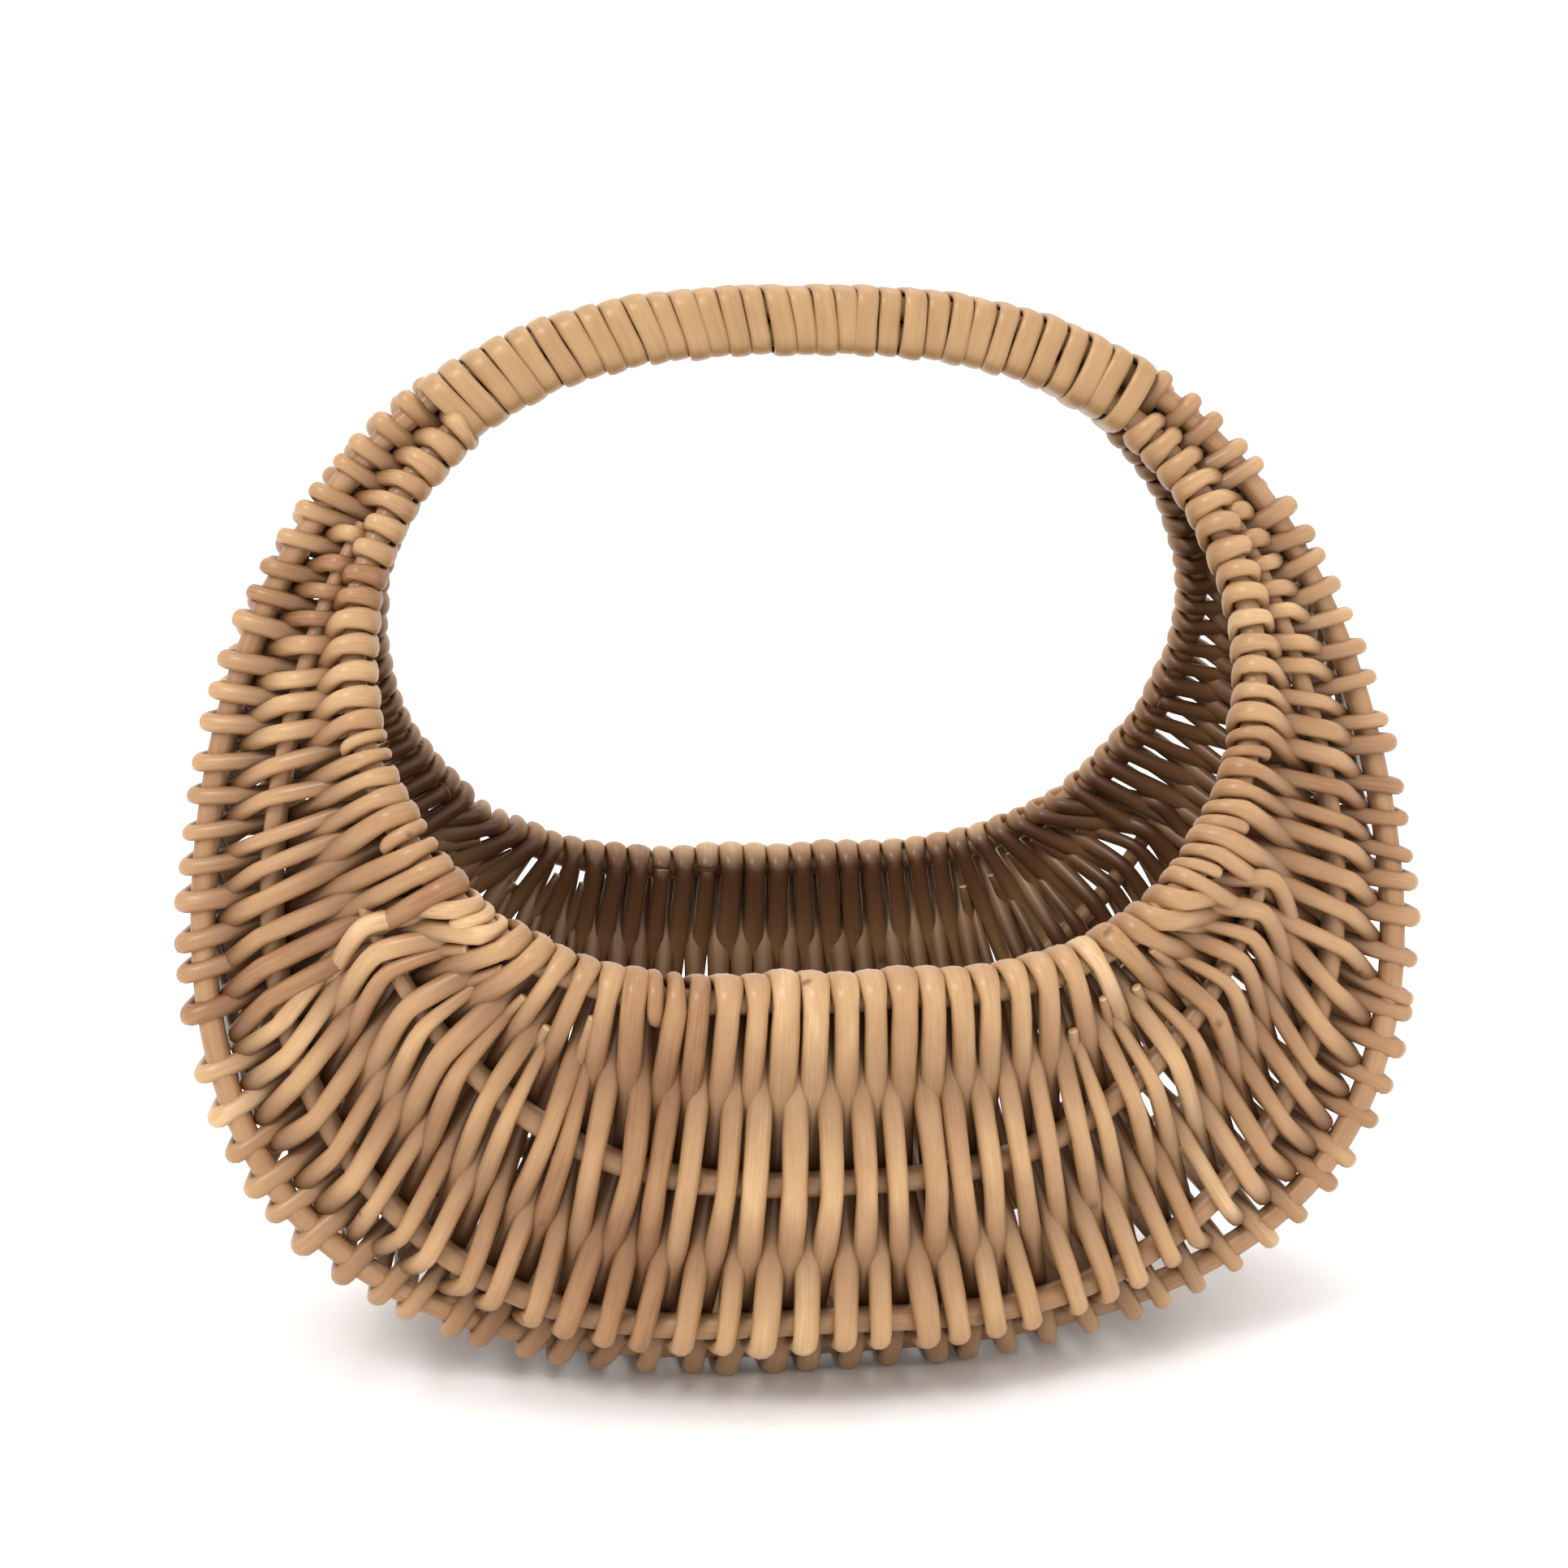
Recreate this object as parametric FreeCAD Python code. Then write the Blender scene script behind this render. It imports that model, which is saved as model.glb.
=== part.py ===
"""Half-moon frame basket of willow: four hoops that run together into the handle, four side ribs,
two dozen weaving rods and the binding of the grip, each one in its own STEP file.

Frame: +Z up, X along the basket's length, Y from its front (-Y) to its back (+Y), millimetres. The
origin is on the floor under the middle of the base.

Every hoop and rib is a rail: a curve in polar form about a hub line that runs along Y through the
middle of the basket. A rail's angle is 0 under the hub, 90 degrees at the side and 180 at the top of
the handle. Rows of weaving cross all the rails, from the front rim down round the base and up to the
back rim. Row 0 is under the hub, and row ROWS is where the grip starts.
"""
import FreeCAD, Part
import math
import os

Vector = FreeCAD.Vector

# The frame
HUB_HEIGHT = 129.6          # height of the hub line; the weave's lowest 0.4 mm is pressed flat on the floor
ROD_RADIUS = 3.1            # hoops and ribs, peeled willow rods
RIB_TIP_RADIUS = 1.9        # a rib's pointed end
STRAND = 3.5                # thickness of a weaving rod where it lies over a hoop or rib
WAIST = 2.6                 # half the weave's thickness midway between two rods
CLEARANCE = 0.2             # between a rod and the weave round it
INNER_GAP = 1.6             # least gap between the front and the back weave

# The weave
ROWS = 40                   # pairs of rows from the middle of the base to the grip
GRIP_START = 141.0          # rail angle where the weave ends and the grip's binding starts
WEAVER_ROWS = (0, 2, 4, 7, 10, 13, 16, 19, 23, 27, 31, 35, 40)   # row where each weaving rod starts
SHORT_RIB_ROW = 13          # row where the short ribs end
SIDE_RIB_ROW = 35           # row where the side ribs end

# The grip
BINDING = 2.3               # thickness of the rod wound round the grip
GRIP_SEAM = 185.5           # rail angle, measured up the right side, where the two bindings meet
GRIP_STEP = 6.5             # about the angle between two sections of a binding
FOOT = 2.0                  # half width of the strip that a base hoop's wraps rest on
LEAST_EDGE = 0.3            # least edge of a wall's outline

ROD_STEP = 7.5              # angle between two sections of a rod
MIN_PITCH = 2 * ROD_RADIUS + 0.2     # two hoops side by side in the grip


class Rail:
    """A hoop or rib: radius from the hub line and half depth in Y, given at evenly spaced angles."""

    def __init__(self, step, radii, half_depths, first_pitch):
        self.step = step
        self.radii = radii
        self.half_depths = half_depths
        self.radius_bends = bends(radii)
        self.depth_bends = bends(half_depths)
        self.angles, self.lengths = self.arc_lengths(GRIP_START)
        self.first_pitch = first_pitch

    def radius(self, angle):
        return spline(self.radii, self.radius_bends, folded(angle) / self.step)

    def half_depth(self, angle):
        return max(spline(self.half_depths, self.depth_bends, folded(angle) / self.step), MIN_PITCH / 2)

    def flat(self, angle):
        """The rail's place in the XZ plane."""
        turn = math.radians(angle)
        return (self.radius(angle) * math.sin(turn), HUB_HEIGHT - self.radius(angle) * math.cos(turn))

    def point(self, angle, side=-1):
        """The rail's place in space; side is -1 for the front rail and +1 for the back rail."""
        x, z = self.flat(angle)
        return Vector(x, side * self.half_depth(angle), z)

    def arc_lengths(self, last):
        """Length along the rail, from its lowest point, at every half degree up to an angle."""
        angles = [0.5 * k for k in range(int(last * 2) + 1)]
        lengths = [0.0]
        for low, high in zip(angles, angles[1:]):
            lengths.append(lengths[-1] + (self.point(high) - self.point(low)).Length)
        return angles, lengths

    def row_angle(self, row):
        """The angle where a row crosses the rail: the pitch changes evenly from its first value."""
        share = row / ROWS
        whole = self.lengths[-1]
        first = self.first_pitch * ROWS
        length = first * share + (whole - first) * share ** 2
        for k in range(1, len(self.lengths)):
            if length <= self.lengths[k]:
                part = (length - self.lengths[k - 1]) / (self.lengths[k] - self.lengths[k - 1])
                return self.angles[k - 1] + 0.5 * part
        return self.angles[-1]


def folded(angle):
    """The same angle on the right side: both sides of the basket are alike."""
    return min(abs(angle), 360 - abs(angle))


def bends(values):
    """Second derivatives of the cubic spline through evenly spaced values, level at both ends."""
    last = len(values) - 1
    diagonal, right = [2.0], [6 * (values[1] - values[0])]
    for k in range(1, last):
        diagonal.append(4.0 - 1.0 / diagonal[k - 1])
        right.append(6 * (values[k - 1] - 2 * values[k] + values[k + 1]) - right[k - 1] / diagonal[k - 1])
    diagonal.append(2.0 - 1.0 / diagonal[last - 1])
    right.append(6 * (values[last - 1] - values[last]) - right[last - 1] / diagonal[last - 1])
    found = [0.0] * (last + 1)
    found[last] = right[last] / diagonal[last]
    for k in range(last - 1, -1, -1):
        found[k] = (right[k] - found[k + 1]) / diagonal[k]
    return found


def spline(values, seconds, place):
    """The cubic spline's value at a place counted in steps."""
    k = min(int(place), len(values) - 2)
    b = place - k
    a = 1 - b
    cubic = ((a ** 3 - a) * seconds[k] + (b ** 3 - b) * seconds[k + 1]) / 6
    return a * values[k] + b * values[k + 1] + cubic


RIM = Rail(30.0, (27, 30.5, 50, 90, 123, 128.5, 121.6), (68.5, 68.5, 67, 52, 20, 5, 3.2), first_pitch=6.7)
BASE = Rail(30.0, (123.4, 135, 150, 144.5, 141, 136, 128.0), (37, 39, 41, 23, 8, 4.2, 3.2),
            first_pitch=10.3)
SIDE_RIB = Rail(35.0, (105.5, 124, 131.5, 127, 132.5), (66, 53, 38, 24, 9), first_pitch=9.2)
SHORT_RIB = Rail(35.0, (71.4, 82, 98, 117, 129), (66.7, 61, 52, 33, 9.5), first_pitch=7.6)


def mirrored(shape, normal):
    """The shape's mirror image in the plane through the origin with a given normal."""
    return shape.mirror(Vector(0, 0, 0), normal)


def rod(rail, first, last, radius_at):
    """A round rod along a front rail, as a ruled loft of circles square to the rail."""
    count = math.ceil((last - first) / ROD_STEP)
    circles = []
    for k in range(count + 1):
        angle = first + (last - first) * k / count
        ahead = rail.point(angle + 0.05) - rail.point(angle - 0.05)
        if angle in (0.0, 180.0):
            ahead = Vector(1, 0, 0)
        circles.append(Part.Wire(Part.makeCircle(radius_at(angle), rail.point(angle), ahead)))
    return Part.makeLoft(circles, True, True)


def hoop(rail, grown=0.0):
    """A closed front hoop: its right half and the mirror image, joined under the hub and at the top."""
    half = rod(rail, 0.0, 180.0, lambda angle: ROD_RADIUS + grown)
    return half.fuse(mirrored(half, Vector(1, 0, 0))).removeSplitter()


def rib(rail, last_row, grown=0.0):
    """A front rib, pointed at both ends, that the weave covers up to a row."""
    end = rail.row_angle(last_row - 0.15)
    taper = 0.35 * end

    def radius_at(angle):
        share = min(1.0, (end - abs(angle)) / taper)
        return RIB_TIP_RADIUS + (ROD_RADIUS - RIB_TIP_RADIUS) * share + grown

    return rod(rail, -end, end, radius_at)


def crossing(rail, start, ahead):
    """Angle where a rail meets the line, in the XZ plane, from a start in a direction."""

    def beside(angle):
        x, z = rail.flat(angle)
        return ahead[0] * (z - start[1]) - ahead[1] * (x - start[0])

    low, high = 0.0, GRIP_START
    below = beside(low) <= 0
    for _ in range(40):
        middle = (low + high) / 2
        if (beside(middle) <= 0) == below:
            low = middle
        else:
            high = middle
    return (low + high) / 2


def outer_normal(ahead):
    """The way out of the basket from a front wall that runs down in a direction (down, back)."""
    return (ahead[1], -ahead[0])


def unit(a, b):
    length = math.hypot(b[0] - a[0], b[1] - a[1])
    return ((b[0] - a[0]) / length, (b[1] - a[1]) / length)


def offset(point, direction, distance):
    return (point[0] + direction[0] * distance, point[1] + direction[1] * distance)


def between(a, b):
    """The direction midway between two directions."""
    return unit((0, 0), (a[0] + b[0], a[1] + b[1]))


def wall_outline(rods, closed_top):
    """The weave's closed outline in one row's plane, as points (down from the rim, back).

    The wall is thick where it passes over and under a rod, has a waist midway to the next one, and is
    wrapped round the rim. Near the grip the front and back walls are one, and the top is closed.
    """
    reach = ROD_RADIUS + STRAND
    bottom = (rods[-1][0], 0.0)
    ways = [unit(a, b) for a, b in zip(rods, rods[1:])] + [(0.0, 1.0)]
    outs = [outer_normal(way) for way in ways]
    up = (-ways[0][0], -ways[0][1])
    outer = [offset(rods[0], up, reach), offset(rods[0], between(up, outs[0]), reach)]
    inner = [offset(rods[0], between(up, (-outs[0][0], -outs[0][1])), reach)]
    for k, centre in enumerate(rods):
        turned = between(outs[max(k - 1, 0)], outs[k])
        if k == len(rods) - 1:
            outer.append(offset(centre, outs[k - 1], reach))
        outer.append(offset(centre, turned, reach))
        inner.append(offset(centre, turned, -reach))
        if k < len(rods) - 1:
            middle = ((centre[0] + rods[k + 1][0]) / 2, (centre[1] + rods[k + 1][1]) / 2)
            outer.append(offset(middle, outs[k], WAIST))
            inner.append(offset(middle, outs[k], -WAIST))
    base = rods[-1]
    foot = base[0] + reach
    outer += [(foot, max(base[1] - FOOT, outer[-1][1] + LEAST_EDGE)), (foot, base[1] + FOOT)]
    inner = [(down, min(back, -INNER_GAP / 2)) for down, back in inner]
    back_outer = [(down, -back) for down, back in reversed(outer)]
    if closed_top:
        return outer + [offset(bottom, (1, 0), WAIST)] + back_outer
    back_inner = [(down, -back) for down, back in inner]
    middle_in = [offset(bottom, (-1, 0), WAIST)]
    return (outer + [offset(bottom, (1, 0), WAIST)] + back_outer
            + back_inner + middle_in + list(reversed(inner)))


def row_section(row, ribs, closed_top):
    """The weave's outline in the plane, parallel to Y, where one row runs from rim to base."""
    rim_angle, base_angle = RIM.row_angle(row), BASE.row_angle(row)
    start, end = RIM.flat(rim_angle), BASE.flat(base_angle)
    ahead = unit(start, end)
    rods = [(0.0, -RIM.half_depth(rim_angle))]
    for rail in ribs:
        angle = crossing(rail, start, ahead)
        x, z = rail.flat(angle)
        rods.append((math.hypot(x - start[0], z - start[1]), -rail.half_depth(angle)))
    rods.append((math.hypot(end[0] - start[0], end[1] - start[1]), -BASE.half_depth(base_angle)))
    points = [Vector(start[0] + ahead[0] * down, back, start[1] + ahead[1] * down)
              for down, back in wall_outline(rods, closed_top)]
    return Part.makePolygon(points + points[:1])


def weaver(first_row, last_row, channels, above_floor):
    """The band that one weaving rod fills on the right side, with channels for the frame's rods."""
    ribs = []
    if last_row <= SHORT_RIB_ROW:
        ribs.append(SHORT_RIB)
    if last_row <= SIDE_RIB_ROW:
        ribs.append(SIDE_RIB)
    closed_top = last_row > SIDE_RIB_ROW
    sections = [row_section(row, ribs, closed_top) for row in range(first_row, last_row + 1)]
    band = Part.makeLoft(sections, True, True)
    return band.cut(channels).common(above_floor).removeSplitter()


def grip_section(angle, shell):
    """A rounded square round the grip's four hoops, at a distance outside their rods."""
    rim, base, depth = RIM.radius(angle), BASE.radius(angle), RIM.half_depth(angle)
    corner = ROD_RADIUS + shell
    turn = math.radians(angle)
    points = []
    for start, radius, side in ((180, rim, -1), (270, base, -1), (0, base, 1), (90, rim, 1)):
        for k in range(4):
            bow = math.radians(start + 30 * k)
            out = radius + corner * math.cos(bow)
            back = side * depth + corner * math.sin(bow)
            points.append(Vector(out * math.sin(turn), back, HUB_HEIGHT - out * math.cos(turn)))
    return Part.makePolygon(points + points[:1])


def binding(first, last):
    """The sleeve that one binding rod makes round the grip between two rail angles."""
    count = math.ceil((last - first) / GRIP_STEP)
    angles = [first + (last - first) * k / count for k in range(count + 1)]
    outside = Part.makeLoft([grip_section(angle, BINDING) for angle in angles], True, True)
    inside = Part.makeLoft([grip_section(angle, CLEARANCE) for angle in angles], True, True)
    return outside.cut(inside)


def build():
    """Every node's name and shape."""
    back = Vector(0, 1, 0)
    nodes, channels = {}, []
    for name, make in (
        ("rim_hoop", lambda grown=0.0: hoop(RIM, grown)),
        ("base_hoop", lambda grown=0.0: hoop(BASE, grown)),
        ("side_rib", lambda grown=0.0: rib(SIDE_RIB, SIDE_RIB_ROW, grown)),
        ("short_rib", lambda grown=0.0: rib(SHORT_RIB, SHORT_RIB_ROW, grown)),
    ):
        front = make()
        nodes["front_" + name] = front
        nodes["back_" + name] = mirrored(front, back)
        wider = make(CLEARANCE)
        channels += [wider, mirrored(wider, back)]
    above_floor = Part.makeBox(400, 200, 400, Vector(-200, -100, 0))
    for number, (first_row, last_row) in enumerate(zip(WEAVER_ROWS, WEAVER_ROWS[1:]), start=1):
        band = weaver(first_row, last_row, channels, above_floor)
        nodes[f"weaver_right_{number:02d}"] = band
        nodes[f"weaver_left_{number:02d}"] = mirrored(band, Vector(1, 0, 0))
    nodes["grip_binding_right"] = binding(GRIP_START, GRIP_SEAM)
    nodes["grip_binding_left"] = binding(GRIP_SEAM, 360 - GRIP_START)
    return nodes


def main():
    os.makedirs("parts", exist_ok=True)
    whole = FreeCAD.BoundBox()
    for name, shape in build().items():
        shape.exportStep(f"parts/{name}.step")
        whole.add(shape.optimalBoundingBox(False, False))
        print(f"{name}: {len(shape.Solids)} solid, {shape.Volume / 1000:.2f} cm3, valid {shape.isValid()}")
    print(f"size {whole.XLength:.1f} x {whole.YLength:.1f} x {whole.ZLength:.1f}, from z {whole.ZMin:.2f}")


main()
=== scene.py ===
"""Half-moon basket of woven willow with a bound hoop handle.

The frame is four hoops and four ribs of round willow. Every rod of the frame is a rail: a curve in polar
form about a hub line along Y, with its angle 0 under the hub, 90 degrees at the side and 180 at the top
of the handle. The weave is single rods that run from the front rim down round the base and up to the
back rim, over one rail and under the next, and wrap round both rims on the way back. A few pairs of
rows are short: their tips end before the rim, which has no room for them. The handle is wound with a
split willow skein. Sizes are in millimetres until a mesh is made, and metres after that.
"""

import logging
import math
from dataclasses import dataclass, field
from enum import Enum

import bpy
import numpy as np
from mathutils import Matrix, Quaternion, Vector

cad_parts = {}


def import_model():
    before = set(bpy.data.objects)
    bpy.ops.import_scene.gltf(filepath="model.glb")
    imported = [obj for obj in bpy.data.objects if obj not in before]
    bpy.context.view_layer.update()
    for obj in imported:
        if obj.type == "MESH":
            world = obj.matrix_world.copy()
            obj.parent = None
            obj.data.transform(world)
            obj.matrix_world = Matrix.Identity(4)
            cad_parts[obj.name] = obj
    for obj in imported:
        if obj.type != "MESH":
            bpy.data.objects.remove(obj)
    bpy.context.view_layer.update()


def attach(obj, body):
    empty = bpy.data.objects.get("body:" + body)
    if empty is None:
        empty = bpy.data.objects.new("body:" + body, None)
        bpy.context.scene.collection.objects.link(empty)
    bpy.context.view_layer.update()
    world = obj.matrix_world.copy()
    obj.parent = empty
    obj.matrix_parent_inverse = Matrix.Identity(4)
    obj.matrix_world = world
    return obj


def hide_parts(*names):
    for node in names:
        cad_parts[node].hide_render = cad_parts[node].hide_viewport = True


LOG = logging.getLogger("basket")

METRES = 0.001              # one millimetre
HUB_HEIGHT = 129.6          # hub line above the floor
ROD_RADIUS = 3.1            # hoops and ribs
RIB_TIP_RADIUS = 1.9        # pointed ends of the ribs
HOOP_SPACING = 3.2          # least half distance between a front hoop and its back twin, in the grip
RAIL_SAMPLES = 283          # places where a rail's length is added up
TURN = 6.28                 # a full turn in radians, near enough for random angles and waves
ROWS = 40                   # pairs of rows from the middle of the base to the grip
GRIP_START = 141.0          # rail angle where the weave ends and the binding starts
GRIP_SEAM = 185.5           # rail angle, up the right side, where the two bindings meet
WEAVER_ROWS = (0, 2, 4, 7, 10, 13, 16, 19, 23, 27, 31, 35, 40)
FIRST_ROW, SECOND_ROW = 0.25, 0.75      # a pair's two rows, in its cell
SHORT_RIB_ROW = 19
SIDE_RIB_ROW = 35
RIB_END = 0.15              # how far before its last row a rib ends, in rows
RIB_TAPER = 0.35            # share of half a rib that tapers to its tip
SHORT_PAIRS = (8, 10, 12, 14, 16)   # pairs whose tips end past the short rib and never reach the rim
RIM_ROWS = ROWS - len(SHORT_PAIRS)


def rim_row(row: int) -> int:
    """A signed row's number on the rim, where the short pairs are left out of the count."""
    missed = sum(short < abs(row) for short in SHORT_PAIRS)
    return (abs(row) - missed) * (1 if row >= 0 else -1)


def level_spline(values: tuple[float, ...], place: np.ndarray) -> np.ndarray:
    """The cubic spline through evenly spaced values that is level at both ends.

    The second derivatives M solve M[k-1] + 4 M[k] + M[k+1] = 6 (v[k-1] - 2 v[k] + v[k+1]), with
    2 M[0] + M[1] = 6 (v[1] - v[0]) at the first end and its mirror image at the last.

    Args:
        values: the values at places 0, 1, 2 and so on.
        place: where the spline is wanted, counted in steps.
    """
    known = np.asarray(values, float)
    count = len(known)
    matrix = 4 * np.eye(count) + np.eye(count, k=1) + np.eye(count, k=-1)
    matrix[0, 0] = matrix[-1, -1] = 2
    steps = np.diff(known)
    right = 6 * np.concatenate(([steps[0]], np.diff(steps), [-steps[-1]]))
    bends = np.linalg.solve(matrix, right)
    low = np.clip(np.floor(place).astype(int), 0, count - 2)
    b = place - low
    a = 1 - b
    cubic = ((a ** 3 - a) * bends[low] + (b ** 3 - b) * bends[low + 1]) / 6
    return a * known[low] + b * known[low + 1] + cubic


def unit(vectors: np.ndarray) -> np.ndarray:
    """Each vector divided by its length."""
    return vectors / np.maximum(np.linalg.norm(vectors, axis=-1, keepdims=True), 1e-9)


@dataclass(frozen=True)
class Rail:
    """The centre line of a front hoop or rib, by its radius and half depth at evenly spaced angles."""

    step: float
    radii: tuple[float, ...]
    half_depths: tuple[float, ...]
    first_pitch: float
    rows: int = ROWS

    def radius(self, angle: np.ndarray) -> np.ndarray:
        """Distance from the hub line at signed angles in degrees."""
        return level_spline(self.radii, np.abs(angle) / self.step)

    def half_depth(self, angle: np.ndarray) -> np.ndarray:
        """Distance from the basket's middle plane."""
        return np.maximum(level_spline(self.half_depths, np.abs(angle) / self.step), HOOP_SPACING)

    def points(self, angle: np.ndarray, side: np.ndarray | float) -> np.ndarray:
        """Points of the rail: (r sin a, side * depth, hub - r cos a).

        Args:
            angle: signed angles in degrees, positive on the right.
            side: -1 for the front rail and +1 for the back one.
        """
        turn, radius = np.radians(angle), self.radius(angle)
        return np.stack((radius * np.sin(turn), side * self.half_depth(angle),
                         HUB_HEIGHT - radius * np.cos(turn)), axis=-1)

    def row_angle(self, row: np.ndarray) -> np.ndarray:
        """Signed angle where a row crosses the rail.

        With v the row's share of all the rail's rows, the length along it is first_pitch * rows * v plus
        what is left of the whole length times v squared, so that the pitch changes evenly.

        Args:
            row: signed row numbers, positive on the right.

        Returns:
            Angles in degrees.
        """
        angles = np.linspace(0, GRIP_START, RAIL_SAMPLES)
        steps = np.linalg.norm(np.diff(self.points(angles, -1.0), axis=0), axis=1)
        lengths = np.concatenate(([0.0], np.cumsum(steps)))
        share = np.clip(np.abs(row) / self.rows, 0, 1)
        first = self.first_pitch * self.rows
        length = first * share + (lengths[-1] - first) * share ** 2
        return np.sign(row) * np.interp(length, lengths, angles)

    def pitch(self, row: float) -> float:
        """Length along the rail from half a row before to half a row after, in millimetres."""
        ends = self.points(self.row_angle(np.array([row - 0.5, row + 0.5])), -1.0)
        return float(np.linalg.norm(ends[1] - ends[0]))


RIM = Rail(30.0, (27, 30.5, 50, 90, 123, 128.5, 121.6), (68.5, 68.5, 67, 52, 20, 5, 3.2), 6.7,
           RIM_ROWS)
BASE = Rail(30.0, (123.4, 135, 150, 144.5, 141, 136, 128.0), (37, 39, 41, 23, 8, 4.2, 3.2), 10.2)
SIDE_RIB = Rail(35.0, (105.5, 124, 131.5, 127, 132.5), (66, 53, 38, 24, 9), 9.5)
SHORT_RIB = Rail(35.0, (71.4, 82, 98, 117, 129), (66.7, 61, 52, 33, 9.5), 7.9)


# ---- Meshes ----


@dataclass
class Tube:
    """One rod or skein: its centre line with a normal and two half sizes at each point, in millimetres."""

    points: np.ndarray
    normals: np.ndarray
    thick: np.ndarray
    wide: np.ndarray
    tone: float
    start: float = 0.0
    inside: np.ndarray | None = None
    squareness: float = 2.0
    closed: bool = False
    knots: np.ndarray = field(default_factory=lambda: np.zeros((0, 2)))


class TubeMesh:
    """Gathers tubes into one mesh with the attributes that the willow finishes read."""

    KNOT_LENGTH = 1.0           # half length of a bud scar along the rod
    KNOT_RISE = 0.07            # how much thicker the rod is there
    BEVEL_SIZE = 0.8            # a cut end's bevel ring, over the section
    BEVEL_RISE = 0.16           # how far out it lies, over the half thickness
    END_RISE = 0.2              # likewise for the end's middle

    def __init__(self, sides: int = 12) -> None:
        """Keeps the number of points in a section."""
        self.sides = sides
        self.vertices: list[np.ndarray] = []
        self.quads: list[np.ndarray] = []
        self.triangles: list[np.ndarray] = []
        self.grain: list[np.ndarray] = []
        self.marks: list[np.ndarray] = []
        self.count = 0

    def add(self, tube: Tube) -> None:
        """Adds a tube: its sections are superellipses in the plane of the normal N and B = T x N.

        A section's points are P + thick c N + wide s B, where (c, s) is (cos f, sin f) divided by
        (|cos f|^p + |sin f|^p)^(1/p) with p the squareness. An open tube ends in a bevel ring and a point.
        """
        points, count, sides = tube.points, len(tube.points), self.sides
        if tube.closed:
            ahead = unit(np.roll(points, -1, axis=0) - np.roll(points, 1, axis=0))
        else:
            ahead = unit(np.gradient(points, axis=0))
        normal = unit(tube.normals - np.sum(tube.normals * ahead, axis=1, keepdims=True) * ahead)
        across = np.cross(ahead, normal)
        run = np.concatenate(([0.0], np.cumsum(np.linalg.norm(np.diff(points, axis=0), axis=1))))
        turn = 2 * np.pi * np.arange(sides) / sides
        cos, sin = np.cos(turn), np.sin(turn)
        swell = (np.abs(cos) ** tube.squareness + np.abs(sin) ** tube.squareness) ** (-1 / tube.squareness)
        cos, sin = cos * swell, sin * swell
        scar = self.scars(tube.knots, run, turn)
        rise = 1 + self.KNOT_RISE * scar.max(axis=1, initial=0.0)
        thick, wide = tube.thick * rise, tube.wide * rise
        rings = (points[:, None] + (thick[:, None] * cos)[..., None] * normal[:, None]
                 + (wide[:, None] * sin)[..., None] * across[:, None])
        inside = np.zeros(count) if tube.inside is None else tube.inside
        spread = np.stack(((run + tube.start)[:, None] + 0 * cos, thick[:, None] * cos, wide[:, None] * sin),
                          axis=-1)
        marks = np.stack((np.full((count, sides), tube.tone), np.repeat(inside[:, None], sides, axis=1),
                          scar, np.zeros((count, sides))), axis=-1)
        first = self.count
        self.keep(rings, spread, marks)
        ring = np.arange(sides)
        onward = np.roll(ring, -1)
        low = np.arange(count if tube.closed else count - 1)
        high = (low + 1) % count
        corners = np.stack((low[:, None] * sides + ring, low[:, None] * sides + onward,
                            high[:, None] * sides + onward, high[:, None] * sides + ring), axis=-1)
        self.quads.append(first + corners.reshape(-1, 4))
        if not tube.closed:
            self.cap(rings[0], -ahead[0], thick[0], spread[0], marks[0], first, flip=True)
            self.cap(rings[-1], ahead[-1], thick[-1], spread[-1], marks[-1],
                     first + (count - 1) * sides, flip=False)

    def scars(self, knots: np.ndarray, run: np.ndarray, turn: np.ndarray) -> np.ndarray:
        """Strength of the bud scars on each point, a bell of the length to the nearest scar and its angle."""
        if not len(knots):
            return np.zeros((len(run), len(turn)))
        along = np.exp(-((run[:, None] - knots[:, 0]) / self.KNOT_LENGTH) ** 2)
        around = np.clip(np.cos(turn[:, None] - knots[:, 1]), 0, 1) ** 4
        return np.max(along[:, None, :] * around[None, :, :], axis=2)

    def keep(self, points: np.ndarray, grain: np.ndarray, marks: np.ndarray) -> None:
        """Stores a block of points with their grain coordinates and marks."""
        self.vertices.append(points.reshape(-1, 3))
        self.grain.append(grain.reshape(-1, 3))
        self.marks.append(marks.reshape(-1, 4))
        self.count += len(self.vertices[-1])

    def cap(self, ring: np.ndarray, out: np.ndarray, thick: float, grain: np.ndarray,
            marks: np.ndarray, first: int, flip: bool) -> None:
        """Closes an end with a bevel ring and a middle point, marked as cut wood.

        Args:
            ring: the last section's points.
            out: the way out of the end.
            thick: the end's half thickness.
            grain: grain coordinates of the ring.
            marks: marks of the ring.
            first: number of the ring's first point.
            flip: whether the end faces against the tube's direction.
        """
        middle = ring.mean(axis=0)
        bevel = middle + self.BEVEL_SIZE * (ring - middle) + self.BEVEL_RISE * thick * out
        cut_marks = marks.copy()
        cut_marks[:, 3] = 1
        bevel_first = self.count
        self.keep(bevel, grain, cut_marks)
        self.keep((middle + self.END_RISE * thick * out)[None], grain.mean(axis=0)[None], cut_marks[:1])
        a = np.arange(self.sides)
        b = np.roll(a, -1)
        quads = np.stack((first + a, first + b, bevel_first + b, bevel_first + a), axis=-1)
        fan = np.stack((bevel_first + a, bevel_first + b, np.full(self.sides, self.count - 1)), axis=-1)
        self.quads.append(quads[:, ::-1] if flip else quads)
        self.triangles.append(fan[:, ::-1] if flip else fan)

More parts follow.
